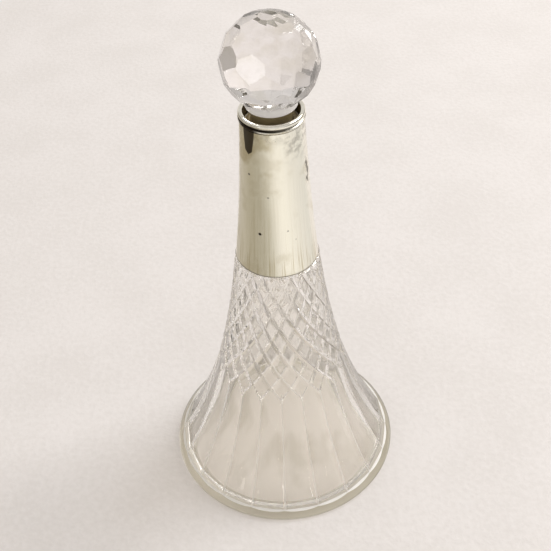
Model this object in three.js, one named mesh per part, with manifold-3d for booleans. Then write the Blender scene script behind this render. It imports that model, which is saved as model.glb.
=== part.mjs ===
// Trumpet-shaped cut-glass scent bottle with a silver neck and a faceted ball stopper.
// Millimetres, +Z up, origin at the centre of the foot on the surface it stands on.
import * as THREE from 'three';
import { ConvexGeometry } from 'three/addons/geometries/ConvexGeometry.js';
import { mergeVertices, toCreasedNormals } from 'three/addons/utils/BufferGeometryUtils.js';
import Module from 'manifold-3d';

const wasm = await Module();
wasm.setup();

// The outside of glass and silver follows one exponential flare.
const FLARE_NECK_R = 8;
const FLARE_RISE_R = 36.7;
const FLARE_LENGTH = 61.8;

// Foot
const FOOT_R = 45;
const FOOT_EDGE_Z = 1;
const FOOT_FLAT_R = 43.8;
const BAND_TOP_Z = 3.6;

// Cuts: one groove tip meets each ridge between two flutes.
const FLUTE_COUNT = 20;
const FLUTE_DEPTH_RATIO = 0.021;
const CUT_PHASE_DEG = -2;
const COLUMNS_PER_FLUTE = 4;
const DIAMOND_BOTTOM_Z = 48;
const DIAMOND_TOP_Z = 101.4;
const DIAMOND_ROWS = 20;
const GROOVE_DEPTH = 0.6;

// Glass neck inside the silver
const SHOULDER_Z = 102;
const NECK_INSET = 2.3;
const NECK_TOP_Z = 157.5;
const PLUG_BORE_TOP_R = 6.9;
const PLUG_BORE_BOTTOM_R = 6;
const PLUG_BORE_BOTTOM_Z = 139.5;
const CAVITY_FLOOR_Z = 3.1;

// Silver
const SLEEVE_BOTTOM_Z = 102.3;
const SLEEVE_TOP_Z = 158.2;
const SLEEVE_INSET = 0.35;
const SLEEVE_WALL = 0.6;
const RIM_SKIRT_R = 9.1;
const RIM_SKIRT_WALL = 0.5;
const RIM_SKIRT_BOTTOM_Z = 156.9;
const LIP_R = 9.95;
const LIP_Z = 160.6;
const LIP_TUBE_R = 0.85;
const BEAD_R = 10.45;
const BEAD_Z = 158.9;
const BEAD_TUBE_R = 0.4;

// Plaster between glass neck and sleeve
const FIT_GAP = 0.3;
const BEDDING_BOTTOM_Z = 102.9;
const BEDDING_TOP_Z = 156.5;

// Stopper
const BALL_Z = 178.1;
const BALL_FACET_R = 14.9;
const BALL_FACETS_PER_ROW = 10;
const BALL_ROWS = [
  { latitude: 68, phase: -23 },
  { latitude: 44, phase: -5 },
  { latitude: 20, phase: -23 },
  { latitude: -4, phase: -5 },
  { latitude: -28, phase: -23 },
  { latitude: -52, phase: -23 },
];
const BALL_CUT_DEPTH = 13;
const STOPPER_SHOULDER_R = 8.45;
const PLUG_TOP_R = 6.6;
const PLUG_BOTTOM_R = 5.72;
const PLUG_BOTTOM_Z = 140.5;
const BORE_GAP_TOP_Z = 157.5;

const ROUND_SEGMENTS = 64;

const glass = new THREE.MeshStandardMaterial({
  color: 0xe9e6dd, roughness: 0.04, metalness: 0, transparent: true, opacity: 0.45,
});
const stopperGlass = new THREE.MeshStandardMaterial({
  color: 0xeeebe6, roughness: 0.04, metalness: 0, transparent: true, opacity: 0.5,
});
const silver = new THREE.MeshStandardMaterial({ color: 0xc9c0a4, roughness: 0.28, metalness: 1 });
const rimSilver = new THREE.MeshStandardMaterial({ color: 0xc4bca6, roughness: 0.2, metalness: 1 });
const plaster = new THREE.MeshStandardMaterial({ color: 0xd8d2c2, roughness: 0.95, metalness: 0 });

const radians = THREE.MathUtils.degToRad;

function flare(z) {
  return FLARE_NECK_R + FLARE_RISE_R * Math.exp(-z / FLARE_LENGTH);
}

// Manifold and three.js conversions

function toSolid(geometry) {
  const bare = new THREE.BufferGeometry();
  bare.setAttribute('position', geometry.getAttribute('position'));
  bare.setIndex(geometry.getIndex());
  const merged = mergeVertices(bare, 1e-5);
  return new wasm.Manifold(new wasm.Mesh({
    numProp: 3,
    vertProperties: new Float32Array(merged.getAttribute('position').array),
    triVerts: new Uint32Array(merged.getIndex().array),
  }));
}

function toGeometry(solid) {
  const { vertProperties, triVerts } = solid.getMesh();
  const geometry = new THREE.BufferGeometry();
  geometry.setAttribute('position', new THREE.BufferAttribute(vertProperties, 3));
  geometry.setIndex(new THREE.BufferAttribute(triVerts, 1));
  return toCreasedNormals(geometry, radians(22));
}

// A profile of [radius, z] pairs turned about Z. It runs up the outside, anticlockwise in the r-z plane.
function turned(profile, segments = ROUND_SEGMENTS) {
  const points = profile.map(([r, z]) => new THREE.Vector2(r, z));
  return new THREE.LatheGeometry(points, segments).rotateX(Math.PI / 2);
}

function arc(centreR, centreZ, tubeR, fromDeg, toDeg, steps) {
  return Array.from({ length: steps + 1 }, (_, i) => {
    const a = radians(fromDeg + ((toDeg - fromDeg) * i) / steps);
    return [centreR + tubeR * Math.cos(a), centreZ + tubeR * Math.sin(a)];
  });
}

function flareRun(fromZ, toZ, inset, steps) {
  return Array.from({ length: steps + 1 }, (_, i) => {
    const z = fromZ + ((toZ - fromZ) * i) / steps;
    return [flare(z) - inset, z];
  });
}

// Bottle: rings of points, one radius for each column, closed by a fan at each end.

const COLUMNS = FLUTE_COUNT * COLUMNS_PER_FLUTE;

// 0 on the ridge between two flutes, 1 on the centre line of a flute
function fluteHollow(column) {
  const t = (column % COLUMNS_PER_FLUTE) / COLUMNS_PER_FLUTE;
  return 1 - (2 * t - 1) ** 2;
}

function plainRing(radius, z) {
  return { z, radii: Array(COLUMNS).fill(radius) };
}

function flutedRing(z) {
  const r = flare(z);
  return {
    z,
    radii: Array.from({ length: COLUMNS }, (_, i) => r * (1 - FLUTE_DEPTH_RATIO * fluteHollow(i))),
  };
}

// Both families of diagonal grooves run along the diagonals of the ring grid.
function onGroove(column, row) {
  return (column + row) % COLUMNS_PER_FLUTE === 0
    || (column - row + COLUMNS) % COLUMNS_PER_FLUTE === 0;
}

function diamondRing(row) {
  const z = DIAMOND_BOTTOM_Z + ((DIAMOND_TOP_Z - DIAMOND_BOTTOM_Z) * row) / DIAMOND_ROWS;
  const r = flare(z);
  const radii = Array.from({ length: COLUMNS }, (_, i) => {
    const fromRidge = Math.min(i % COLUMNS_PER_FLUTE, COLUMNS_PER_FLUTE - (i % COLUMNS_PER_FLUTE));
    if (row < fromRidge) return r * (1 - FLUTE_DEPTH_RATIO * fluteHollow(i));
    return onGroove(i, row) ? r - GROOVE_DEPTH : r;
  });
  return { z, radii };
}

function bottleRings() {
  const flutes = [BAND_TOP_Z + 0.9, 9, 14, 20, 27, 35, 42].map(flutedRing);
  const diamonds = Array.from({ length: DIAMOND_ROWS + 1 }, (_, row) => diamondRing(row));
  const neck = [SHOULDER_Z, 120, 139.5, NECK_TOP_Z].map((z) => plainRing(flare(z) - NECK_INSET, z));
  return [
    plainRing(FOOT_FLAT_R, 0),
    plainRing(FOOT_R, FOOT_EDGE_Z),
    plainRing(flare(BAND_TOP_Z), BAND_TOP_Z),
    ...flutes,
    ...diamonds,
    plainRing(flare(SHOULDER_Z) - 1.1, SHOULDER_Z),
    ...neck,
  ];
}

function ringSolid(rings) {
  const positions = [0, 0, rings[0].z];
  for (const { z, radii } of rings) {
    radii.forEach((r, i) => {
      const a = radians(-90 + CUT_PHASE_DEG + (360 * i) / COLUMNS);
      positions.push(r * Math.cos(a), r * Math.sin(a), z);
    });
  }
  positions.push(0, 0, rings.at(-1).z);
  const at = (ring, column) => 1 + ring * COLUMNS + (column % COLUMNS);
  const last = rings.length - 1;
  const firstDiamond = rings.findIndex(({ z }) => z === DIAMOND_BOTTOM_Z);
  const index = [];
  for (let i = 0; i < COLUMNS; i++) {
    index.push(0, at(0, i + 1), at(0, i), positions.length / 3 - 1, at(last, i), at(last, i + 1));
    for (let ring = 0; ring < last; ring++) {
      const [a, b, c, d] = [at(ring, i), at(ring, i + 1), at(ring + 1, i + 1), at(ring + 1, i)];
      const row = ring - firstDiamond;
      const even = row < 0 ? i % COLUMNS_PER_FLUTE < 2 : (i + row) % 2 === 0;
      if (even) index.push(a, b, c, a, c, d);
      else index.push(a, b, d, b, c, d);
    }
  }
  const geometry = new THREE.BufferGeometry();
  geometry.setAttribute('position', new THREE.Float32BufferAttribute(positions, 3));
  geometry.setIndex(index);
  return toSolid(geometry);
}

function cavitySolid() {
  return toSolid(turned([
    [0, CAVITY_FLOOR_Z + 0.6],
    [22, CAVITY_FLOOR_Z + 0.2],
    [37.2, CAVITY_FLOOR_Z],
    [38.9, 3.5],
    [39.5, 4.5],
    [38.9, 6.0],
    [36.9, 9.2],
    [33, 16],
    [27.4, 28],
    [21.7, 45],
    [17.2, 62],
    [13.4, 80],
    [10.4, 96],
    [8.6, 108],
    [6.9, 124],
    [PLUG_BORE_BOTTOM_R, 136],
    [PLUG_BORE_BOTTOM_R, PLUG_BORE_BOTTOM_Z],
    [PLUG_BORE_TOP_R, NECK_TOP_Z],
    [PLUG_BORE_TOP_R, NECK_TOP_Z + 5],
    [0, NECK_TOP_Z + 5],
  ], 40));
}

function bottleBody() {
  return toGeometry(ringSolid(bottleRings()).subtract(cavitySolid()));
}

// Silver and plaster

function neckSleeve() {
  const outside = flareRun(SLEEVE_BOTTOM_Z, SLEEVE_TOP_Z, SLEEVE_INSET, 8);
  const inside = flareRun(SLEEVE_TOP_Z, SLEEVE_BOTTOM_Z, SLEEVE_INSET + SLEEVE_WALL, 4);
  return toGeometry(toSolid(turned([...outside, ...inside, outside[0]])));
}

function mouthRim() {
  const skirtOutR = RIM_SKIRT_R + RIM_SKIRT_WALL;
  const seatZ = SLEEVE_TOP_Z + FIT_GAP;
  const profile = [
    [RIM_SKIRT_R, RIM_SKIRT_BOTTOM_Z],
    [skirtOutR, RIM_SKIRT_BOTTOM_Z],
    [skirtOutR, seatZ],
    [BEAD_R - 0.1, seatZ],
    ...arc(BEAD_R, BEAD_Z, BEAD_TUBE_R, -75, 75, 5),
    ...arc(LIP_R, LIP_Z, LIP_TUBE_R, -50, 180, 9),
    [RIM_SKIRT_R, RIM_SKIRT_BOTTOM_Z],
  ];
  return toGeometry(toSolid(turned(profile)));
}

function sleeveBedding() {
  const outerInset = SLEEVE_INSET + SLEEVE_WALL + FIT_GAP;
  const innerInset = NECK_INSET - FIT_GAP;
  const outside = flareRun(BEDDING_BOTTOM_Z, BEDDING_TOP_Z, outerInset, 5);
  const inside = flareRun(BEDDING_TOP_Z, BEDDING_BOTTOM_Z, innerInset, 5);
  return toGeometry(toSolid(turned([...outside, ...inside, outside[0]], 48)));
}

// Stopper: every facet is a plane at the same distance from the centre of the ball.

function facetNormals() {
  const normals = [new THREE.Vector3(0, 0, 1)];
  for (const { latitude, phase } of BALL_ROWS) {
    for (let i = 0; i < BALL_FACETS_PER_ROW; i++) {
      const azimuth = radians(-90 + phase + (360 * i) / BALL_FACETS_PER_ROW);
      const level = Math.cos(radians(latitude));
      normals.push(new THREE.Vector3(
        level * Math.cos(azimuth), level * Math.sin(azimuth), Math.sin(radians(latitude)),
      ));
    }
  }
  return normals;
}

// Corners of the convex solid inside all the planes: each one is where three planes meet.
function planeCorners(planes) {
  const corners = [];
  const point = new THREE.Vector3();
  const inverse = new THREE.Matrix3();
  for (let i = 0; i < planes.length; i++) {
    for (let j = i + 1; j < planes.length; j++) {
      for (let k = j + 1; k < planes.length; k++) {
        const [p, q, r] = [planes[i], planes[j], planes[k]];
        inverse.set(...p.normal.toArray(), ...q.normal.toArray(), ...r.normal.toArray());
        if (Math.abs(inverse.determinant()) < 1e-4) continue;
        point.set(p.constant, q.constant, r.constant).applyMatrix3(inverse.invert());
        if (planes.every(({ normal, constant }) => normal.dot(point) <= constant + 1e-6)) {
          corners.push(point.clone());
        }
      }
    }
  }
  return corners;
}

function facetedBall() {
  const planes = facetNormals().map((normal) => ({ normal, constant: BALL_FACET_R }));
  planes.push({ normal: new THREE.Vector3(0, 0, -1), constant: BALL_CUT_DEPTH });
  return toSolid(new ConvexGeometry(planeCorners(planes)).translate(0, 0, BALL_Z));
}

function shoulderAndPlug() {
  const shoulderZ = BALL_Z - 14.1;
  return toSolid(turned([
    [0, PLUG_BOTTOM_Z],
    [PLUG_BOTTOM_R - 0.5, PLUG_BOTTOM_Z],
    [PLUG_BOTTOM_R, PLUG_BOTTOM_Z + 0.5],
    [PLUG_TOP_R, BORE_GAP_TOP_Z],
    [PLUG_TOP_R, shoulderZ - 2.2],
    [PLUG_TOP_R + 0.5, shoulderZ - 1.3],
    [STOPPER_SHOULDER_R - 0.35, shoulderZ - 0.75],
    [STOPPER_SHOULDER_R, shoulderZ],
    [STOPPER_SHOULDER_R, shoulderZ + 2.6],
    [0, shoulderZ + 2.6],
  ], 40));
}

function stopper() {
  return toGeometry(facetedBall().add(shoulderAndPlug()));
}

export function buildPart() {
  const group = new THREE.Group();
  group.name = 'perfume_bottle';
  const pieces = [
    ['bottle_body', bottleBody(), glass],
    ['neck_sleeve', neckSleeve(), silver],
    ['mouth_rim', mouthRim(), rimSilver],
    ['sleeve_bedding', sleeveBedding(), plaster],
    ['stopper', stopper(), stopperGlass],
  ];
  for (const [name, geometry, material] of pieces) {
    const mesh = new THREE.Mesh(geometry, material);
    mesh.name = name;
    group.add(mesh);
  }
  return group;
}

export default buildPart();
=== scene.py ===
import math

import bmesh
import bpy
import numpy as np
from mathutils import Matrix, Vector


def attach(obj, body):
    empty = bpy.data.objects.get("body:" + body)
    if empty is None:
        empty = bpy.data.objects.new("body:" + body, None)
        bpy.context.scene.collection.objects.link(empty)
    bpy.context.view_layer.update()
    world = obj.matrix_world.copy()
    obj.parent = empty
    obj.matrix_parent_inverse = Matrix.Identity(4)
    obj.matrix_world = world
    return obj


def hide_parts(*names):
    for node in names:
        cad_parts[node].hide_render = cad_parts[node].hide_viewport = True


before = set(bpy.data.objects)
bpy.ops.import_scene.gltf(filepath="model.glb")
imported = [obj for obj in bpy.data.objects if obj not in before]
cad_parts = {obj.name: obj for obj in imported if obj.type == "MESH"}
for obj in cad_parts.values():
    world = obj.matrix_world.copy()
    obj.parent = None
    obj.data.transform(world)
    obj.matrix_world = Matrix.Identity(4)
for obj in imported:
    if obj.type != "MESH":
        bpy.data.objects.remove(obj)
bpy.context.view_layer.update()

MM = 0.001
TURN = 2 * math.pi

# ---------------------------------------------------------------- sizes (mm)
# The outlines follow the CAD model's. The cuts vary a little in depth and place, as cutting by hand does.
FLARE_NECK_R, FLARE_RISE_R, FLARE_LENGTH = 8.0, 36.7, 61.8
FOOT_R, FOOT_FLAT_R, FOOT_EDGE_R = 45.0, 43.8, 1.2
BASE_RING_R, FOOT_RING_R = 37.6, 40.2  # where the matt rings of the underside change; their colours are partly painted shade
BAND_TOP_Z = 3.6
RUN_OUT_RISE, RUN_OUT_DIP, BAND_LEAN = 1.3, 0.4, 0.923
FLUTES = 20
FLUTE_DEPTH_RATIO = 0.021
CUT_PHASE = math.radians(-2)
DIAMOND_BOTTOM_Z, DIAMOND_TOP_Z, DIAMOND_CELLS = 48.0, 101.4, 5
GROOVE_DEPTHS = (0.74, 0.5)  # falling to the right, falling to the left
GROOVE_HALF_WIDTH, ZIGZAG_DEPTH = 0.95, 0.5
SHOULDER_Z, NECK_TOP_Z, NECK_INSET = 102.0, 157.5, 2.3
BORE_TOP_R, BORE_BOTTOM_R, BORE_BOTTOM_Z = 6.9, 6.0, 139.5
CAVITY_WALL = ((6.9, 124), (8.6, 108), (10.4, 96), (13.4, 80), (17.2, 62), (21.7, 45), (27.4, 28), (33, 16),
               (36.9, 9.2), (38.9, 6.0), (39.5, 4.5), (38.9, 3.5), (37.2, 3.1), (22, 3.3), (10, 3.5))
CAVITY_CENTRE_Z = 3.7
SLEEVE_BOTTOM_Z, SLEEVE_TOP_Z, SLEEVE_INSET, SLEEVE_WALL = 102.3, 158.2, 0.35, 0.6
RIM_SKIRT_R, RIM_SKIRT_WALL, RIM_SKIRT_BOTTOM_Z = 9.1, 0.5, 156.9
RIM_SEAT_GAP = 0.3
LIP_R, LIP_Z, LIP_TUBE_R = 9.95, 160.6, 0.85
BEAD_R, BEAD_Z, BEAD_TUBE_R = 10.45, 158.9, 0.4
BALL_Z, BALL_FACET_R, BALL_FACETS, BALL_CUT_DEPTH = 178.1, 14.9, 10, 13.0
BALL_ROWS = ((68, -23), (44, -5), (20, -23), (-4, -5), (-28, -23), (-52, -23))
FACET_EDGE = 0.09
SHOULDER_R, SHOULDER_BELOW_BALL, SHOULDER_OVERLAP = 8.45, 14.1, 2.6
PLUG_TOP_R, PLUG_BOTTOM_R, PLUG_BOTTOM_Z, PLUG_TAPER_TOP_Z = 6.6, 5.72, 140.5, 157.5
RESIDUE_AND_SHADE_TOP_Z = 162.2

# ---------------------------------------------------------------- mesh resolution
FLUTE_STEPS = 16
COLUMNS = FLUTES * FLUTE_STEPS
LEAD_ROWS = 3  # fine rows below the diamonds
RIDGE_ROWS = 8  # fine rows that the pale ridge lines run up
SILVER_SEGMENTS = 192
PLUG_SEGMENTS = 120


def flare(z):
    return FLARE_NECK_R + FLARE_RISE_R * math.exp(-z / FLARE_LENGTH)


def make_object(name, verts, faces, materials, sharp_deg, face_slots=None):
    """Smooth-shaded object from points in mm. Edges that turn by more than sharp_deg stay sharp."""
    mesh = bpy.data.meshes.new(name)
    mesh.from_pydata([Vector(v) * MM for v in verts], [], faces)
    for m in materials:
        mesh.materials.append(m)
    if face_slots is not None:
        mesh.polygons.foreach_set("material_index", face_slots)
    finish_mesh(mesh, sharp_deg)
    obj = bpy.data.objects.new(name, mesh)
    bpy.context.scene.collection.objects.link(obj)
    return obj


def finish_mesh(mesh, sharp_deg):
    mesh.validate()
    mesh.polygons.foreach_set("use_smooth", [True] * len(mesh.polygons))
    mesh.set_sharp_from_angle(angle=math.radians(sharp_deg))
    mesh.update()


def arc(centre_r, centre_z, tube_r, from_deg, to_deg, steps):
    out = []
    for i in range(steps + 1):
        a = math.radians(from_deg + (to_deg - from_deg) * i / steps)
        out.append((centre_r + tube_r * math.cos(a), centre_z + tube_r * math.sin(a)))
    return out


def chaikin(points, rounds):
    """Corner cutting that keeps both end points."""
    for _ in range(rounds):
        out = [points[0]]
        for (r0, z0), (r1, z1) in zip(points, points[1:]):
            out.append((0.75 * r0 + 0.25 * r1, 0.75 * z0 + 0.25 * z1))
            out.append((0.25 * r0 + 0.75 * r1, 0.25 * z0 + 0.75 * z1))
        points = out + [points[-1]]
    return points


def ring_grid(rings, closed):
    """Faces between rings of equal length. closed joins the last ring to the first."""
    n = len(rings[0])
    verts = [p for ring in rings for p in ring]
    faces = []
    count = len(rings) if closed else len(rings) - 1
    for j in range(count):
        k = (j + 1) % len(rings)
        for i in range(n):
            i2 = (i + 1) % n
            faces.append((j * n + i, j * n + i2, k * n + i2, k * n + i))
    return verts, faces


def turned_rings(profile, segments, wobble=None):
    """Rings of a turned shape. wobble gives what is added to the radius at an angle and a height."""
    rings = []
    for r, z in profile:
        ring = []
        for i in range(segments):
            a = TURN * i / segments
            rr = r + (wobble(a, z) if wobble else 0.0)
            ring.append((rr * math.cos(a), rr * math.sin(a), z))
        rings.append(ring)
    return rings


# ---------------------------------------------------------------- bottle
# slots that carry painted light: shade at the mouth, foot, underside and base ring, and a highlight along the
# flute run-outs
CLEAR, RESIDUE_AND_SHADE, FOOT_WEAR_AND_SHADE, BASE_WEAR_AND_SHADE, RUN_OUT_PAINTED_HIGHLIGHT, BASE_RING, PALE_RIDGE = range(7)  # its material slots


def hollow(t):
    """Depth across a flute, where t runs from 0 to 1: 0 on both ridges, 1 in the middle."""
    return 1 - (2 * t - 1) ** 2


def column_angle(i):
    return -math.pi / 2 + CUT_PHASE + TURN * i / COLUMNS


def cut_radius(u, z):
    """Outer radius where u counts flutes round the bottle: blank, flute or groove, whichever is deepest.

    v counts diamonds up from the lowest tips. The grooves are the lines where u + v or u - v is whole.
    """
    r = flare(z)
    cell = (DIAMOND_TOP_Z - DIAMOND_BOTTOM_Z) / DIAMOND_CELLS
    v = (z - DIAMOND_BOTTOM_Z) / cell
    slope = -FLARE_RISE_R / FLARE_LENGTH * math.exp(-z / FLARE_LENGTH)
    across = r * TURN / FLUTES
    along = cell * math.hypot(1, slope)
    unit = 1 / math.hypot(1 / across, 1 / along)
    t = u % 1
    near_ridge = min(t, 1 - t)
    in_flute = v < near_ridge
    base = r * (1 - FLUTE_DEPTH_RATIO * hollow(t)) if in_flute else r
    depth = 0.0
    for s, full in zip((u + v, u - v), GROOVE_DEPTHS):
        cut = round(s)
        shift = 0.018 * math.sin(cut * 12.9 + full * 40)
        pressed = 1 + 0.22 * math.sin(cut * 7.3 + full * 11 + v * 0.8)
        d = abs(s - cut - shift) * unit
        depth = max(depth, full * pressed * (1 - d / GROOVE_HALF_WIDTH))
    if v < -0.3:
        depth = 0.0
    if in_flute:
        lower = abs(v - near_ridge) * unit
        depth = max(0.0, ZIGZAG_DEPTH * (1 - lower / GROOVE_HALF_WIDTH))
    return min(base, r - depth)


def band_ring(r, z, dip):
    """Ring on the bevelled band of the foot, which dips by up to dip under each flute."""
    ring = []
    for i in range(COLUMNS):
        a = column_angle(i)
        h = hollow((i / FLUTE_STEPS) % 1) * dip
        rr = r + h * BAND_LEAN
        ring.append((rr * math.cos(a), rr * math.sin(a), z - h))
    return ring


def run_out_ring(s):
    """Ring s of the way, 0 to 1, up the curved end of the flutes."""
    ring = []
    for i in range(COLUMNS):
        h = hollow((i / FLUTE_STEPS) % 1)
        z = BAND_TOP_Z + RUN_OUT_RISE * s - RUN_OUT_DIP * h * (1 - s)
        full = flare(z) * FLUTE_DEPTH_RATIO * h
        if s > 0:
            r = flare(z) - full * math.sqrt(1 - (1 - s) ** 2)
        else:
            r = flare(BAND_TOP_Z) + RUN_OUT_DIP * h * BAND_LEAN
        a = column_angle(i)
        ring.append((r * math.cos(a), r * math.sin(a), z))
    return ring


def cut_ring(z):
    ring = []
    for i in range(COLUMNS):
        a = column_angle(i)
        r = cut_radius(i / FLUTE_STEPS, z)
        ring.append((r * math.cos(a), r * math.sin(a), z))
    return ring


def plain_ring(r, z):
    return [(r * math.cos(column_angle(i)), r * math.sin(column_angle(i)), z) for i in range(COLUMNS)]


def bottle_outer_rings():
    """Rings from the underside up to the lip, and runs of them, by name, that need their own faces."""
    rings = [plain_ring(BASE_RING_R, 0.0), plain_ring(FOOT_RING_R, 0.0), plain_ring(FOOT_FLAT_R - 0.3, 0.0)]
    rings += [plain_ring(r, z) for r, z in arc(FOOT_FLAT_R, FOOT_EDGE_R, FOOT_EDGE_R, -90, 0, 6)]
    top_r = flare(BAND_TOP_Z)
    for s in (0.2, 0.4, 0.6, 0.8, 0.93):
        bulge = 0.12 * math.sin(math.pi * s)
        r = FOOT_R + (top_r - FOOT_R) * s + bulge
        rings.append(band_ring(r, FOOT_EDGE_R + (BAND_TOP_Z - FOOT_EDGE_R) * s, RUN_OUT_DIP * s * s))
    run_out = len(rings)
    rings += [run_out_ring(s) for s in (0.0, 0.08, 0.22, 0.42, 0.68, 1.0)]
    step = (DIAMOND_TOP_Z - DIAMOND_BOTTOM_Z) / (DIAMOND_CELLS * FLUTE_STEPS)
    z = BAND_TOP_Z + 2.2
    while z < DIAMOND_BOTTOM_Z - LEAD_ROWS * step - 0.9:
        rings.append(cut_ring(z))
        z += 1.8
    first = len(rings)
    for k in range(-LEAD_ROWS, DIAMOND_CELLS * FLUTE_STEPS + 1):
        rings.append(cut_ring(DIAMOND_BOTTOM_Z + k * step))
    last = len(rings) - 1
    rings.append(plain_ring(flare(SHOULDER_Z) - 1.0, SHOULDER_Z - 0.1))
    rings.append(plain_ring(flare(SHOULDER_Z) - 1.25, SHOULDER_Z))
    rings += [plain_ring(flare(z) - NECK_INSET, z) for z in (SHOULDER_Z, 108, 116, 126, 136, 148, 156.6)]
    top = flare(NECK_TOP_Z) - NECK_INSET
    lip = [plain_ring(r, z) for r, z in arc(top - 0.7, NECK_TOP_Z - 0.7, 0.7, 0, 90, 5)]
    rings += lip
    runs = {"base": range(1), "foot": range(1, 5), "edge": range(run_out - 1, run_out + 2),
            "ridges": range(run_out + 2, first + RIDGE_ROWS), "diamonds": range(first, last),
            "lip": range(len(rings) - len(lip), len(rings))}
    return rings, runs


def bottle_inner_rings():
    """Rings from the lip down to the floor of the cavity, and the number of them in the bore.

    Blown glass is never quite even inside.
    """
    bore = [(BORE_TOP_R + 0.5, NECK_TOP_Z), (BORE_TOP_R + 0.12, NECK_TOP_Z - 0.15),
            (BORE_TOP_R, NECK_TOP_Z - 0.6), (BORE_TOP_R - 0.45, 148.5), (BORE_BOTTOM_R, BORE_BOTTOM_Z)]
    wall = [(BORE_BOTTOM_R, BORE_BOTTOM_Z), (BORE_BOTTOM_R, 136), *CAVITY_WALL, (2, CAVITY_CENTRE_Z)]
    rings = []
    for r, z in bore + chaikin(wall, 3)[1:]:
        uneven = 0.16 * min(1, max(0, (132 - z) / 30)) * min(1, r / 20)
        ring = []
        for i in range(COLUMNS):
            a = column_angle(i)
            rr = r + uneven * (math.sin(2 * a + z * 0.07) + 0.6 * math.sin(3 * a - z * 0.11 + 1.3)
                               + 0.35 * math.sin(5 * a + z * 0.21 + 0.4))
            ring.append((rr * math.cos(a), rr * math.sin(a), z))
        rings.append(ring)
    return rings, len(bore) - 1


def bottle_face_kind(ring, column, runs):
    """Material slot of the face above a ring."""
    if ring in runs["bore"]:
        return RESIDUE_AND_SHADE
    if ring in runs["base"]:
        return BASE_RING
    if ring in runs["foot"]:
        return FOOT_WEAR_AND_SHADE
    if ring in runs["edge"]:
        return RUN_OUT_PAINTED_HIGHLIGHT
    if ring in runs["ridges"] and column % FLUTE_STEPS == 0:
        return PALE_RIDGE
    return CLEAR


def make_bottle(materials):
    outer, runs = bottle_outer_rings()
    inner, bore_rings = bottle_inner_rings()
    runs["bore"] = range(runs["lip"].start, len(outer) + bore_rings)
    rings = outer + inner
    n = COLUMNS
    underside = len(rings) * n
    cavity_floor = underside + 1
    verts = [p for ring in rings for p in ring] + [(0.0, 0.0, 0.0), (0.0, 0.0, CAVITY_CENTRE_Z)]
    faces, slots = [], []
    for j in range(len(rings) - 1):
        for i in range(n):
            i2 = (i + 1) % n
            a, b, c, d = j * n + i, j * n + i2, (j + 1) * n + i2, (j + 1) * n + i
            kind = bottle_face_kind(j, i, runs)
            if j not in runs["diamonds"]:
                faces.append((a, b, c, d))
                slots.append(kind)
            elif (i + j - runs["diamonds"].start - LEAD_ROWS) % 2 == 0:
                faces += [(a, b, c), (a, c, d)]
                slots += [kind, kind]
            else:
                faces += [(a, b, d), (b, c, d)]
                slots += [kind, kind]
    end = (len(rings) - 1) * n
    for i in range(n):
        i2 = (i + 1) % n
        faces += [(underside, i2, i), (cavity_floor, end + i, end + i2)]
        slots += [BASE_WEAR_AND_SHADE, CLEAR]
    return make_object("cut_glass_bottle", verts, faces, materials, 14, slots)


# ---------------------------------------------------------------- stopper
CLEAR_GLASS, GROUND_GLASS, PLUG_RESIDUE_AND_SHADE = range(3)  # its material slots


def ball_planes():
    """Normals of the planes that cut the ball, and their distances from its middle."""
    normals = [(0.0, 0.0, 1.0)]
    for latitude, phase in BALL_ROWS:
        lat = math.radians(latitude)
        for i in range(BALL_FACETS):
            az = math.radians(-90 + phase) + TURN * i / BALL_FACETS
            normals.append((math.cos(lat) * math.cos(az), math.cos(lat) * math.sin(az), math.sin(lat)))
    normals.append((0.0, 0.0, -1.0))
    offsets = [BALL_FACET_R] * (len(normals) - 1) + [BALL_CUT_DEPTH]
    return np.array(normals), np.array(offsets)


def ball_corners():
    """Points where three cutting planes meet and no other plane cuts them away."""
    normals, offsets = ball_planes()
    corners = []
    count = len(normals)
    for i in range(count):
        near = [j for j in range(i + 1, count) if normals[i] @ normals[j] > 0.3]
        for a, j in enumerate(near):
            for k in near[a + 1:]:
                m = normals[[i, j, k]]
                if abs(np.linalg.det(m)) < 1e-4:
                    continue
                p = np.linalg.solve(m, offsets[[i, j, k]])
                if (normals @ p <= offsets + 1e-6).all():
                    corners.append(p)
    return corners


def make_plug(materials):
    """Round part below the ball: tapered plug, stem and shoulder, closed at both ends."""
    shoulder_z = BALL_Z - SHOULDER_BELOW_BALL
    top_z = shoulder_z + SHOULDER_OVERLAP
    corner = 0.5
    profile = [(0.02, PLUG_BOTTOM_Z)]
    profile += arc(PLUG_BOTTOM_R - corner, PLUG_BOTTOM_Z + corner, corner, -90, 0, 6)
    for k in range(1, 7):
        r = PLUG_BOTTOM_R + (PLUG_TOP_R - PLUG_BOTTOM_R) * k / 6
        profile.append((r, PLUG_BOTTOM_Z + corner + (PLUG_TAPER_TOP_Z - PLUG_BOTTOM_Z - corner) * k / 6))
    profile += chaikin([(PLUG_TOP_R, PLUG_TAPER_TOP_Z), (PLUG_TOP_R, shoulder_z - 2.4),
                        (PLUG_TOP_R + 0.1, shoulder_z - 1.5), (SHOULDER_R, shoulder_z - 1.0),
                        (SHOULDER_R, shoulder_z + 0.3), (SHOULDER_R, top_z)], 3)
    profile.append((0.02, top_z))
    n = PLUG_SEGMENTS
    verts, faces = ring_grid(turned_rings(profile, n), closed=False)
    slots = [PLUG_RESIDUE_AND_SHADE if profile[k // n][1] < RESIDUE_AND_SHADE_TOP_Z else GROUND_GLASS for k in range(len(faces))]
    faces += [tuple(range(n - 1, -1, -1)), tuple(range((len(profile) - 1) * n, len(profile) * n))]
    slots += [PLUG_RESIDUE_AND_SHADE, CLEAR_GLASS]
    return make_object("plug_cutter", verts, faces, materials, 6, slots)


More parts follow.
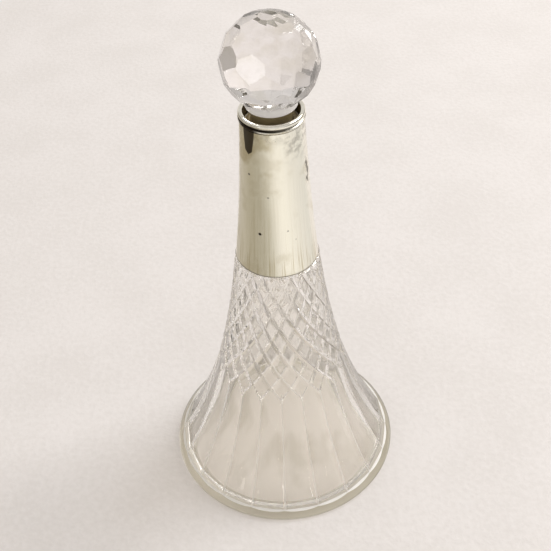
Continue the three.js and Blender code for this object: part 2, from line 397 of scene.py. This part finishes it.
def make_stopper(materials):
    """Faceted ball, with the plug joined to it."""
    bm = bmesh.new()
    for p in ball_corners():
        bm.verts.new((Vector(p) + Vector((0, 0, BALL_Z))) * MM)
    bmesh.ops.remove_doubles(bm, verts=bm.verts, dist=1e-7)
    hull = bmesh.ops.convex_hull(bm, input=bm.verts)
    loose = [g for g in hull["geom_interior"] if isinstance(g, bmesh.types.BMVert)]
    bmesh.ops.delete(bm, geom=loose, context="VERTS")
    bmesh.ops.dissolve_limit(bm, angle_limit=math.radians(0.5), verts=bm.verts, edges=bm.edges)
    edges = [e for e in bm.edges if e.calc_face_angle(0) > math.radians(3)]
    bmesh.ops.bevel(bm, geom=edges, offset=FACET_EDGE * MM, segments=2, profile=0.5, affect="EDGES")
    bmesh.ops.recalc_face_normals(bm, faces=bm.faces)
    ball_mesh = bpy.data.meshes.new("faceted_ball_stopper")
    bm.to_mesh(ball_mesh)
    bm.free()
    for m in materials:
        ball_mesh.materials.append(m)
    ball = bpy.data.objects.new("faceted_ball_stopper", ball_mesh)
    bpy.context.scene.collection.objects.link(ball)

    plug = make_plug(materials)
    join = ball.modifiers.new("join", "BOOLEAN")
    join.operation, join.solver, join.object = "UNION", "EXACT", plug
    depsgraph = bpy.context.evaluated_depsgraph_get()
    joined = bpy.data.meshes.new_from_object(ball.evaluated_get(depsgraph))
    ball.modifiers.clear()
    ball.data = joined
    bpy.data.objects.remove(plug)
    finish_mesh(joined, 5)
    return ball


# ---------------------------------------------------------------- silver
def sleeve_wobble(a, z):
    """Hand-raised silver: shallow unevenness, a few hundredths of a millimetre."""
    return (0.030 * math.sin(3 * a + z * 0.05) + 0.018 * math.sin(5 * a - z * 0.09 + 2.0)
            + 0.012 * math.sin(8 * a + z * 0.16 + 0.7))


def make_sleeve(silver):
    """Tapered tube whose lower outer corner is taken off by a small bevel."""
    rows, inside_every, bevel = 60, 6, 0.12
    outside = []
    for k in range(rows + 1):
        z = SLEEVE_BOTTOM_Z + (SLEEVE_TOP_Z - SLEEVE_BOTTOM_Z) * k / rows
        outside.append((flare(z) - SLEEVE_INSET, z))
    inside = [(r - SLEEVE_WALL, z) for r, z in outside[::inside_every]][::-1]
    bottom_r = outside[0][0]
    outside[0] = (bottom_r, SLEEVE_BOTTOM_Z + bevel)
    profile = [(bottom_r - bevel, SLEEVE_BOTTOM_Z)] + outside + inside
    rings = turned_rings(profile, SILVER_SEGMENTS, sleeve_wobble)
    verts, faces = ring_grid(rings, closed=True)
    return make_object("silver_neck_sleeve", verts, faces, [silver], 25)


def make_rim(silver):
    """Skirt, lower bead and rolled lip of the mouth ring, turned in one outline."""
    skirt_out = RIM_SKIRT_R + RIM_SKIRT_WALL
    seat = SLEEVE_TOP_Z + RIM_SEAT_GAP
    profile = [(RIM_SKIRT_R, RIM_SKIRT_BOTTOM_Z), (skirt_out, RIM_SKIRT_BOTTOM_Z), (skirt_out, seat),
               (BEAD_R - 0.1, seat)]
    profile += arc(BEAD_R, BEAD_Z, BEAD_TUBE_R, -75, 75, 14)
    profile += [(BEAD_R - 0.25, 159.5), (BEAD_R - 0.3, 159.8)]
    profile += arc(LIP_R, LIP_Z, LIP_TUBE_R, -40, 180, 30)
    profile += [(RIM_SKIRT_R, 159.4), (RIM_SKIRT_R, 158.2)]
    rings = turned_rings(profile, SILVER_SEGMENTS)
    verts, faces = ring_grid(rings, closed=True)
    return make_object("silver_mouth_rim", verts, faces, [silver], 32)


# ---------------------------------------------------------------- materials
GLASS_IOR = 1.545
PASSED = (0.99, 0.98, 0.965, 1)  # light of a lamp that comes straight through clear glass
PASSED_AT_EDGE = (0.42, 0.40, 0.36, 1)
PASSED_RESIDUE = (0.5, 0.45, 0.35, 1)
# brown met from the air near the mouth: partly residue, partly painted shade
RESIDUE_AND_SHADE_OUTSIDE, RESIDUE_WITHIN = (0.30, 0.235, 0.12, 1), (0.96, 0.93, 0.86, 1)
# matt white: a painted highlight on the run-out band, and the pale ridge lines
MATT_WHITE = (1.0, 0.99, 0.97, 1)
SILVER = (0.985, 0.965, 0.875, 1)
# olive: tarnish, and on the sleeve also a painted reflection in broad streaks
OLIVE = (0.60, 0.53, 0.36, 1)
# near-black: tarnish in pits and marks, and painted shade in the rim's groove and round the sleeve's foot
TARNISH_AND_SHADE = (0.045, 0.034, 0.022, 1)
# brown inside the mouth: partly tarnish, partly painted shade
MOUTH_BROWN = (0.15, 0.115, 0.055, 1)
FLOOR_DARK, FLOOR_LIGHT = (0.76, 0.725, 0.70, 1), (0.81, 0.775, 0.755, 1)
# pits in the sleeve: degrees round it, height and size in mm, darkness
PITS = ((-25.5, 119.8, 0.75, 1.0), (-45.1, 142.1, 0.55, 0.8), (-11.2, 134.8, 0.5, 0.5),
        (17.5, 121.1, 0.5, 0.4), (29.5, 116.8, 0.4, 0.25), (131.0, 126.0, 0.6, 0.9),
        (-148.0, 139.0, 0.5, 0.6), (170.0, 115.0, 0.45, 0.5))


def new_material(name):
    m = bpy.data.materials.new(name)
    m.use_nodes = True
    m.node_tree.nodes.clear()
    return m, m.node_tree


def node(tree, kind, inputs=None, **settings):
    n = tree.nodes.new(kind)
    for key, value in settings.items():
        setattr(n, key, value)
    for key, value in (inputs or {}).items():
        if isinstance(value, bpy.types.NodeSocket):
            tree.links.new(value, n.inputs[key])
        else:
            n.inputs[key].default_value = value
    return n


def put_on(tree, shader):
    node(tree, "ShaderNodeOutputMaterial", {"Surface": shader.outputs[0]})


def glass_material(name, colour, roughness, bump_strength, shade, transmission=1.0, edge=None, outside=None,
                   blotching=None):
    """Glass that lets lamps through, dimmed to shade.

    edge is (colour, from, to): a tint that grows between those two grazing factors, painted shade that
    darkens the rims.
    outside is the colour that the surface, met from the air, takes on towards the top of the plug: partly
    residue, partly painted shade in the mouth.
    stain is (colour, scale) of soft blotches.
    """
    m, tree = new_material(name)
    place, _, _, height = polar(tree)
    bump = node(tree, "ShaderNodeBump", {
        "Height": noise(tree, place, 140.0, 2.0), "Strength": bump_strength, "Distance": 0.0004})
    grazing = node(tree, "ShaderNodeLayerWeight", {"Blend": 0.5}).outputs["Facing"]
    tint = colour
    # painted shade: the glass darkens towards grazing, along its rims
    if edge:
        rim_shade_colour, low, high = edge
        tint = mix_colour(tree, ramp(tree, grazing, low, high), colour, rim_shade_colour)
    if blotching:
        blotch_colour, scale = blotching
        blotches = ramp(tree, noise(tree, place, scale, 3.0), 0.46, 0.68)
        tint = mix_colour(tree, blotches, tint, blotch_colour)
    # partly residue, partly painted shade: met from the air, the surface turns brown towards the mouth
    if outside:
        within = node(tree, "ShaderNodeNewGeometry").outputs["Backfacing"]
        ragged = maths(tree, "MULTIPLY", noise(tree, place, 300.0, 4.0), 8.0)
        fade = ramp(tree, maths(tree, "ADD", height, ragged), 153.0, 162.5)
        tint = mix_colour(tree, within, mix_colour(tree, fade, colour, outside), tint)
    glass = node(tree, "ShaderNodeBsdfPrincipled", {
        "Base Color": tint, "Roughness": roughness, "IOR": GLASS_IOR, "Transmission Weight": transmission,
        "Normal": bump.outputs[0]})
    passed = mix_colour(tree, maths(tree, "POWER", grazing, 3.0), shade, PASSED_AT_EDGE)
    clear = node(tree, "ShaderNodeBsdfTransparent", {"Color": passed})
    ray = node(tree, "ShaderNodeLightPath")
    through = maths(tree, "MAXIMUM", ray.outputs["Is Shadow Ray"], ray.outputs["Is Diffuse Ray"])
    put_on(tree, node(tree, "ShaderNodeMixShader", {0: through, 1: glass.outputs[0], 2: clear.outputs[0]}))
    return m


def polar(tree):
    """Object coordinates, degrees round the axis (0 in front, + to the right), radius and height in mm."""
    place = node(tree, "ShaderNodeTexCoord").outputs["Object"]
    xyz = node(tree, "ShaderNodeSeparateXYZ", {"Vector": place})
    x, y = xyz.outputs["X"], xyz.outputs["Y"]
    angle = maths(tree, "DEGREES", maths(tree, "ARCTAN2", x, maths(tree, "MULTIPLY", y, -1.0)))
    squares = maths(tree, "ADD", maths(tree, "POWER", x, 2.0), maths(tree, "POWER", y, 2.0))
    radius = maths(tree, "MULTIPLY", maths(tree, "SQRT", squares), 1000.0)
    height = maths(tree, "MULTIPLY", xyz.outputs["Z"], 1000.0)
    return place, angle, radius, height


def maths(tree, operation, a, b=0.0):
    return node(tree, "ShaderNodeMath", {0: a, 1: b}, operation=operation).outputs[0]


def ramp(tree, value, low, high, out_low=0.0, out_high=1.0):
    """Smooth step from out_low to out_high as value goes from low to high."""
    return node(tree, "ShaderNodeMapRange", {"Value": value, 1: low, 2: high, 3: out_low, 4: out_high},
                interpolation_type="SMOOTHSTEP").outputs[0]


def any_of(tree, masks):
    total = masks[0]
    for m in masks[1:]:
        total = maths(tree, "MAXIMUM", total, m)
    return total


def product(tree, masks):
    total = masks[0]
    for m in masks[1:]:
        total = maths(tree, "MULTIPLY", total, m)
    return total


def spot(tree, place, angle_deg, z, r, size):
    """Mask of a round mark of radius size on a surface of radius r. It fades over its outer half."""
    a = math.radians(angle_deg)
    at = (r * MM * math.sin(a), -r * MM * math.cos(a), z * MM)
    far = node(tree, "ShaderNodeVectorMath", {0: place, 1: at}, operation="DISTANCE").outputs["Value"]
    return ramp(tree, far, size * 0.5 * MM, size * MM, 1.0, 0.0)


def mix_colour(tree, factor, a, b):
    n = node(tree, "ShaderNodeMix", {"Factor": factor}, data_type="RGBA")
    for index, value in ((6, a), (7, b)):
        if isinstance(value, bpy.types.NodeSocket):
            tree.links.new(value, n.inputs[index])
        else:
            n.inputs[index].default_value = value
    return n.outputs[2]


def round_coordinates(tree, place, around, along):
    """Vector that runs round the axis without a seam: a circle of radius around, height scaled by along."""
    xyz = node(tree, "ShaderNodeSeparateXYZ", {"Vector": place})
    flat = node(tree, "ShaderNodeCombineXYZ", {"X": xyz.outputs["X"], "Y": xyz.outputs["Y"]}).outputs[0]
    unit = node(tree, "ShaderNodeVectorMath", {0: flat}, operation="NORMALIZE").outputs[0]
    wide = node(tree, "ShaderNodeVectorMath", {0: unit, "Scale": around}, operation="SCALE").outputs[0]
    parts = node(tree, "ShaderNodeSeparateXYZ", {"Vector": wide})
    high = maths(tree, "MULTIPLY", xyz.outputs["Z"], along)
    joined = node(tree, "ShaderNodeCombineXYZ", {
        "X": parts.outputs["X"], "Y": parts.outputs["Y"], "Z": high})
    return joined.outputs[0]


def noise(tree, vector, scale, detail=3.0):
    return node(tree, "ShaderNodeTexNoise", {"Vector": vector, "Scale": scale, "Detail": detail}).outputs[0]


def silver_surface(tree, colour, roughness, bump):
    put_on(tree, node(tree, "ShaderNodeBsdfPrincipled", {
        "Base Color": colour, "Roughness": roughness, "Metallic": 1.0, "Normal": bump.outputs[0]}))


def sleeve_tarnish_and_reflection(tree, place, angle, height, cloud, fine):
    """Mask of the olive colour: blotches and fine lines low down are tarnish, the broad streaks, stronger low
    and at the left, are a painted reflection, and there is a smudge high on the left.
    """
    blotch = ramp(tree, cloud, 0.50, 0.72, 0.0, 0.55)
    lines = product(tree, [ramp(tree, fine, 0.50, 0.68), ramp(tree, height, 103.0, 117.0, 1.0, 0.12)])
    streak = noise(tree, round_coordinates(tree, place, 9.0, 25.0), 1.0, 4.0)
    # painted reflection: broad olive streaks, stronger low and at the left
    wide = product(tree, [ramp(tree, streak, 0.48, 0.72), ramp(tree, height, 104.0, 140.0, 0.75, 0.35),
                          ramp(tree, angle, -10.0, 12.0, 1.0, 0.4)])
    smudge = product(tree, [ramp(tree, noise(tree, place, 100.0, 4.0), 0.44, 0.62),
                            ramp(tree, height, 134.0, 146.0), ramp(tree, angle, -12.0, 6.0, 1.0, 0.0)])
    parts = ((blotch, 0.6), (smudge, 0.75), (lines, 0.85), (wide, 0.6))
    return any_of(tree, [maths(tree, "MULTIPLY", mask, strength) for mask, strength in parts])


def sleeve_tongue(tree, angle, height):
    """Mask of a dark tongue that hangs from the top edge at the left and widens upwards."""
    off = maths(tree, "ABSOLUTE", maths(tree, "ADD", angle, 46.0))
    reach = product(tree, [ramp(tree, height, 149.0, 158.5, 10.0, 15.5),
                           ramp(tree, height, 149.0, 151.2, 0.1, 1.0)])
    return maths(tree, "MULTIPLY", ramp(tree, maths(tree, "SUBTRACT", reach, off), 1.6, 3.2), 0.95)


def sleeve_scar(tree, place, angle, height):
    """Mask of the ragged scar at the right."""
    grain = maths(tree, "SUBTRACT", noise(tree, place, 330.0, 4.0), 0.5)
    ragged = maths(tree, "MULTIPLY", grain, 26.0)
    off = maths(tree, "ABSOLUTE", maths(tree, "ADD", maths(tree, "SUBTRACT", angle, 71.0), ragged))
    end = maths(tree, "ABSOLUTE", maths(tree, "SUBTRACT", height, 139.8))
    return ramp(tree, maths(tree, "ADD", off, maths(tree, "MULTIPLY", end, 0.8)), 3.0, 6.5, 0.75, 0.0)


def sleeve_top_stain(tree, place, angle, height):
    """Mask of the specks along the top edge, which run lower at the right."""
    right = product(tree, [ramp(tree, height, 145.0, 153.0), ramp(tree, angle, 12.0, 30.0),
                           ramp(tree, angle, 80.0, 110.0, 1.0, 0.0)])
    stained = any_of(tree, [ramp(tree, height, 153.0, 158.0, 0.0, 0.6), right])
    specks = ramp(tree, noise(tree, place, 420.0, 4.0), 0.42, 0.64, 0.0, 0.75)
    return maths(tree, "MULTIPLY", product(tree, [stained, specks]), 0.5)


def sleeve_material():
    m, tree = new_material("sleeve_silver")
    place, angle, _, height = polar(tree)
    cloud = noise(tree, place, 130.0, 5.0)
    fine = noise(tree, round_coordinates(tree, place, 26.0, 40.0), 1.0, 3.0)
    tarnish_and_reflection = sleeve_tarnish_and_reflection(tree, place, angle, height, cloud, fine)
    pits = any_of(tree, [
        maths(tree, "MULTIPLY", spot(tree, place, a, z, flare(z) - SLEEVE_INSET, size), depth)
        for a, z, size, depth in PITS])
    # painted shade: a dark line round the sleeve's foot, at the gap to the glass
    painted_gap_shade = ramp(tree, height, 102.5, 103.1, 0.7, 0.0)
    dark = any_of(tree, [pits, sleeve_tongue(tree, angle, height), sleeve_scar(tree, place, angle, height),
                         sleeve_top_stain(tree, place, angle, height), painted_gap_shade])
    colour = mix_colour(tree, dark, mix_colour(tree, tarnish_and_reflection, SILVER, OLIVE), TARNISH_AND_SHADE)
    dull = ramp(tree, cloud, 0.35, 0.7, 0.17, 0.27)
    rough = maths(tree, "ADD", dull, maths(tree, "MULTIPLY", dark, 0.2))
    grain = noise(tree, round_coordinates(tree, place, 60.0, 30.0), 1.0, 2.0)
    relief = maths(tree, "SUBTRACT", maths(tree, "ADD", grain, maths(tree, "MULTIPLY", fine, 1.2)),
                   maths(tree, "MULTIPLY", pits, 2.0))
    bump = node(tree, "ShaderNodeBump", {"Height": relief, "Strength": 0.25, "Distance": 0.00006})
    silver_surface(tree, colour, rough, bump)
    return m


def rim_material():
    m, tree = new_material("rim_silver")
    place, angle, radius, height = polar(tree)
    cloud = noise(tree, place, 300.0, 5.0)
    tint = mix_colour(tree, ramp(tree, cloud, 0.45, 0.7, 0.0, 0.5), SILVER, OLIVE)
    # partly tarnish, partly painted shade: the inside of the mouth turns dark brown
    inside = ramp(tree, radius, 9.15, 9.5, 1.0, 0.0)
    off_left = maths(tree, "ABSOLUTE", maths(tree, "ADD", angle, 48.0))
    left = ramp(tree, off_left, 12.0, 34.0, 1.0, 0.0)
    # partly tarnish, partly painted shade: dark in the groove between bead and lip, darker at the left; the
    # lip is also dark low down at the left
    groove = any_of(tree, [
        product(tree, [ramp(tree, height, 159.0, 159.3), ramp(tree, height, 160.0, 160.3, 1.0, 0.0),
                       ramp(tree, angle, -20.0, 60.0, 1.0, 0.45)]),
        product(tree, [left, ramp(tree, height, 160.2, 160.7, 1.0, 0.0)])])
    dark = any_of(tree, [inside, groove])
    colour = mix_colour(tree, inside, mix_colour(tree, groove, tint, TARNISH_AND_SHADE), MOUTH_BROWN)
    rough = maths(tree, "ADD", ramp(tree, cloud, 0.35, 0.7, 0.09, 0.2), maths(tree, "MULTIPLY", dark, 0.3))
    bump = node(tree, "ShaderNodeBump", {"Height": cloud, "Strength": 0.2, "Distance": 0.00008})
    silver_surface(tree, colour, rough, bump)
    return m


def plaster_material():
    m, tree = new_material("bedding_plaster")
    place = node(tree, "ShaderNodeTexCoord").outputs["Object"]
    grain = node(tree, "ShaderNodeTexNoise", {"Vector": place, "Scale": 900.0, "Detail": 4.0})
    tint = node(tree, "ShaderNodeValToRGB", {"Fac": grain.outputs[0]})
    tint.color_ramp.elements[0].color = (0.42, 0.37, 0.28, 1)
    tint.color_ramp.elements[1].color = (0.70, 0.66, 0.57, 1)
    bump = node(tree, "ShaderNodeBump", {"Height": grain.outputs[0], "Strength": 0.5, "Distance": 0.0002})
    put_on(tree, node(tree, "ShaderNodeBsdfPrincipled", {
        "Base Color": tint.outputs[0], "Roughness": 0.95, "Normal": bump.outputs[0]}))
    return m


def floor_material():
    m, tree = new_material("pale_floor")
    place = node(tree, "ShaderNodeTexCoord").outputs["Object"]
    cloud = noise(tree, place, 25.0, 5.0)
    weave = noise(tree, place, 420.0, 3.0)
    mixed = maths(tree, "ADD", maths(tree, "MULTIPLY", cloud, 0.5), maths(tree, "MULTIPLY", weave, 0.5))
    tint = mix_colour(tree, ramp(tree, mixed, 0.35, 0.65), FLOOR_DARK, FLOOR_LIGHT)
    bump = node(tree, "ShaderNodeBump", {"Height": weave, "Strength": 0.35, "Distance": 0.0006})
    put_on(tree, node(tree, "ShaderNodeBsdfPrincipled", {
        "Base Color": tint, "Roughness": 0.9, "Specular IOR Level": 0.2, "Normal": bump.outputs[0]}))
    return m


# ---------------------------------------------------------------- camera
CAMERA_AT = Vector((0.0, -254.5, 324.6)) * MM
CAMERA_PITCH, CAMERA_YAW, CAMERA_ROLL = math.radians(42.67), math.radians(-0.23), math.radians(-2.54)
CAMERA_LENS, CAMERA_SENSOR = 62.07, 36.0


def make_camera():
    flat = math.cos(CAMERA_PITCH)
    look = Vector((math.sin(CAMERA_YAW) * flat, math.cos(CAMERA_YAW) * flat, -math.sin(CAMERA_PITCH)))
    level = look.cross(Vector((0, 0, 1))).normalized()
    up = level.cross(look)
    c, s = math.cos(CAMERA_ROLL), math.sin(CAMERA_ROLL)
    right = c * level + s * up
    top = -s * level + c * up
    data = bpy.data.cameras.new("camera")
    data.lens = CAMERA_LENS
    data.sensor_width = CAMERA_SENSOR
    data.clip_start = 0.01
    camera = bpy.data.objects.new("camera", data)
    basis = Matrix((right, top, -look)).transposed().to_4x4()
    camera.matrix_world = Matrix.Translation(CAMERA_AT) @ basis
    bpy.context.scene.collection.objects.link(camera)
    bpy.context.scene.camera = camera


# ---------------------------------------------------------------- stage (m)
FLOOR_R, FLOOR_Z, FLOOR_SEGMENTS = 3.0, -0.0003, 96
CARD_INNER_R, CARD_OUTER_R, CARD_Z = 0.11, 0.6, 0.003
CARD_FROM, CARD_TO, CARD_STEPS = -150.0, 120.0, 18  # degrees round the axis, 0 at the front
# shades of the card: place from one end of it to the other, colour
CARD_SHADES = ((0.0, (0.53, 0.48, 0.42, 1)), (0.13, (0.51, 0.46, 0.38, 1)), (0.29, (0.40, 0.355, 0.27, 1)),
               (0.44, (0.43, 0.39, 0.31, 1)), (0.52, (0.58, 0.54, 0.455, 1)), (0.61, (0.88, 0.83, 0.76, 1)),
               (0.69, (0.95, 0.90, 0.82, 1)), (0.87, (0.80, 0.76, 0.71, 1)), (1.0, (0.76, 0.73, 0.69, 1)))
# flags: name, x, y, half the side, brightness
FLAGS = (("flag_left", -0.29, 0.0, 0.09, 0.12), ("flag_far", -0.75, 0.70, 0.22, 0.16),
         ("flag_right", 0.30, 0.20, 0.09, 0.46), ("flag_behind", 0.42, 0.45, 0.08, 0.24))
FLAG_Z = 0.004


def put_on_stage(name, points, faces, material):
    mesh = bpy.data.meshes.new(name)
    mesh.from_pydata(points, [], faces)
    mesh.materials.append(material)
    thing = bpy.data.objects.new(name, mesh)
    bpy.context.scene.collection.objects.link(thing)
    return thing


def make_floor():
    turns = [TURN * i / FLOOR_SEGMENTS for i in range(FLOOR_SEGMENTS)]
    edge = [(FLOOR_R * math.cos(a), FLOOR_R * math.sin(a), FLOOR_Z) for a in turns]
    put_on_stage("floor", edge, [tuple(range(FLOOR_SEGMENTS))], floor_material())


def make_reflector():
    """Shaded card round the bottle, just above the floor, that only reflections show: bands in the silver."""
    turns = [math.radians(CARD_FROM + (CARD_TO - CARD_FROM) * i / CARD_STEPS) for i in range(CARD_STEPS + 1)]
    n = len(turns)
    inner = [(CARD_INNER_R * math.sin(a), -CARD_INNER_R * math.cos(a), CARD_Z) for a in turns]
    outer = [(CARD_OUTER_R * math.sin(a), -CARD_OUTER_R * math.cos(a), CARD_Z) for a in turns]
    faces = [(i, i + 1, n + 1 + i, n + i) for i in range(CARD_STEPS)]
    m, tree = new_material("reflector_card")
    _, angle, radius, _ = polar(tree)
    slant = maths(tree, "MULTIPLY", maths(tree, "SUBTRACT", radius, 175.0), 0.2)
    turned = maths(tree, "ADD", angle, slant)
    part = node(tree, "ShaderNodeMapRange", {"Value": turned, 1: CARD_FROM, 2: CARD_TO})
    shades = node(tree, "ShaderNodeValToRGB", {"Fac": part.outputs[0]})
    while len(shades.color_ramp.elements) < len(CARD_SHADES):
        shades.color_ramp.elements.new(0.5)
    for element, (at, colour) in zip(shades.color_ramp.elements, CARD_SHADES):
        element.position, element.color = at, colour
    put_on(tree, node(tree, "ShaderNodeEmission", {"Color": shades.outputs[0], "Strength": 1.0}))
    card = put_on_stage("reflector_card", inner + outer, faces, m)
    card.visible_camera = card.visible_diffuse = card.visible_shadow = card.visible_transmission = False


def make_flags():
    """Small dark cards above the floor, seen only through the glass, which draw the rim of the ball."""
    for name, x, y, half, tone in FLAGS:
        m, tree = new_material(name)
        grey = (tone, 0.92 * tone, 0.83 * tone, 1)
        put_on(tree, node(tree, "ShaderNodeEmission", {"Color": grey, "Strength": 1.0}))
        corners = [(x + half * dx, y + half * dy, FLAG_Z) for dx, dy in ((-1, -1), (1, -1), (1, 1), (-1, 1))]
        flag = put_on_stage(name, corners, [(0, 1, 2, 3)], m)
        flag.visible_camera = flag.visible_diffuse = flag.visible_shadow = flag.visible_glossy = False


def area_light(name, at, target, size, power, colour):
    data = bpy.data.lights.new(name, "AREA")
    data.shape, data.size, data.energy, data.color = "SQUARE", size, power, colour
    light = bpy.data.objects.new(name, data)
    light.location = at
    light.rotation_euler = (Vector(target) - Vector(at)).to_track_quat("-Z", "Y").to_euler()
    bpy.context.scene.collection.objects.link(light)


def make_world():
    """Pale room that is dark low down at both sides."""
    world = bpy.data.worlds.new("soft_room")
    bpy.context.scene.world = world
    world.use_nodes = True
    tree = world.node_tree
    tree.nodes.clear()
    way = node(tree, "ShaderNodeTexCoord").outputs["Generated"]
    xyz = node(tree, "ShaderNodeSeparateXYZ", {"Vector": way})
    side = ramp(tree, maths(tree, "ABSOLUTE", xyz.outputs["X"]), 0.45, 0.85)
    low = ramp(tree, xyz.outputs["Z"], 0.02, 0.5, 1.0, 0.0)
    dark = maths(tree, "MULTIPLY", side, low)
    up = ramp(tree, xyz.outputs["Z"], 0.1, 0.9)
    above = mix_colour(tree, up, (0.72, 0.69, 0.66, 1), (0.54, 0.52, 0.50, 1))
    room = mix_colour(tree, dark, above, (0.07, 0.062, 0.052, 1))
    seen = node(tree, "ShaderNodeLightPath").outputs["Is Camera Ray"]
    sky = mix_colour(tree, seen, room, (0.76, 0.72, 0.69, 1))
    back = node(tree, "ShaderNodeBackground", {"Color": sky, "Strength": 1.0})
    node(tree, "ShaderNodeOutputWorld", {"Surface": back.outputs[0]})


# ---------------------------------------------------------------- build
make_camera()
glass_kinds = [
    # painted shade: edge darkens the rims of the bottle glass
    glass_material("bottle_glass", (0.968, 0.959, 0.940, 1), 0.0, 0.03, PASSED,
                   edge=((0.07, 0.062, 0.05, 1), 0.42, 0.92)),
    # bore: brown near the mouth is partly residue, partly painted shade
    glass_material("bore_residue_and_shade", RESIDUE_WITHIN, 0.45, 0.1, PASSED_RESIDUE, 0.15, outside=RESIDUE_AND_SHADE_OUTSIDE),
    # matt wear at the foot; its dark olive is painted contact shadow
    glass_material("foot_wear_and_shade", (0.52, 0.48, 0.385, 1), 0.5, 0.3, (0.7, 0.68, 0.62, 1), 0.25),
    # matt underside: its grey-beige is partly wear, partly painted shade of the floor under the bottle
    glass_material("base_wear_and_shade", (0.86, 0.845, 0.81, 1), 0.28, 0.2, PASSED, 0.85,
                   blotching=((0.60, 0.58, 0.51, 1), 38.0)),
    # its white is a painted highlight along the flute run-outs
    glass_material("run_out_painted_highlight", MATT_WHITE, 0.4, 0.3, PASSED, 0.35),
    # its dark grey-beige is painted shade: the darker band just above the foot
    glass_material("base_ring", (0.60, 0.57, 0.51, 1), 0.5, 0.3, PASSED, 0.12),
    glass_material("pale_ridge", MATT_WHITE, 0.3, 0.1, PASSED, 0.9)]
plug_kinds = [
    # painted shade: edge darkens the rims of the ball
    glass_material("stopper_glass", (0.955, 0.935, 0.935, 1), 0.0, 0.05, (0.95, 0.94, 0.93, 1),
                   edge=((0.12, 0.11, 0.10, 1), 0.42, 0.80), blotching=((0.84, 0.81, 0.755, 1), 130.0)),
    glass_material("plug_ground_glass", (1.0, 0.99, 0.98, 1), 0.3, 0.1, (0.85, 0.84, 0.82, 1), 0.2),
    # plug: brown near the mouth is partly residue, partly painted shade
    glass_material("plug_residue_and_shade", RESIDUE_WITHIN, 0.45, 0.1, PASSED_RESIDUE, 0.15, outside=RESIDUE_AND_SHADE_OUTSIDE)]
sleeve_silver = sleeve_material()
rim_silver = rim_material()

bottle = make_bottle(glass_kinds)
stopper = make_stopper(plug_kinds)
sleeve = make_sleeve(sleeve_silver)
rim = make_rim(rim_silver)

for piece, body, cad_node, slot in (
        (bottle, "bottle", "bottle_body", "bottle_glass"),
        (sleeve, "bottle", "neck_sleeve", "sleeve_silver"),
        (rim, "bottle", "mouth_rim", "rim_silver"),
        (stopper, "stopper", "stopper", "stopper_glass")):
    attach(piece, body)
    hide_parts(cad_node)

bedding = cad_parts["sleeve_bedding"]
bedding.data.materials.clear()
bedding.data.materials.append(plaster_material())

make_floor()
make_reflector()
make_flags()
make_world()
area_light("key", (1.36, 0.72, 1.84), (0, 0, 0.05), 1.04, 38.6, (1.0, 0.985, 0.97))
area_light("window", (-1.01, -1.10, 0.36), (0, 0, 0.178), 0.18, 0.30, (1.0, 1.0, 1.0))
bpy.context.scene.view_settings.view_transform = "Standard"
cycles = bpy.context.scene.cycles
cycles.max_bounces = 32
cycles.transmission_bounces = 32
cycles.glossy_bounces = 24
cycles.transparent_max_bounces = 16
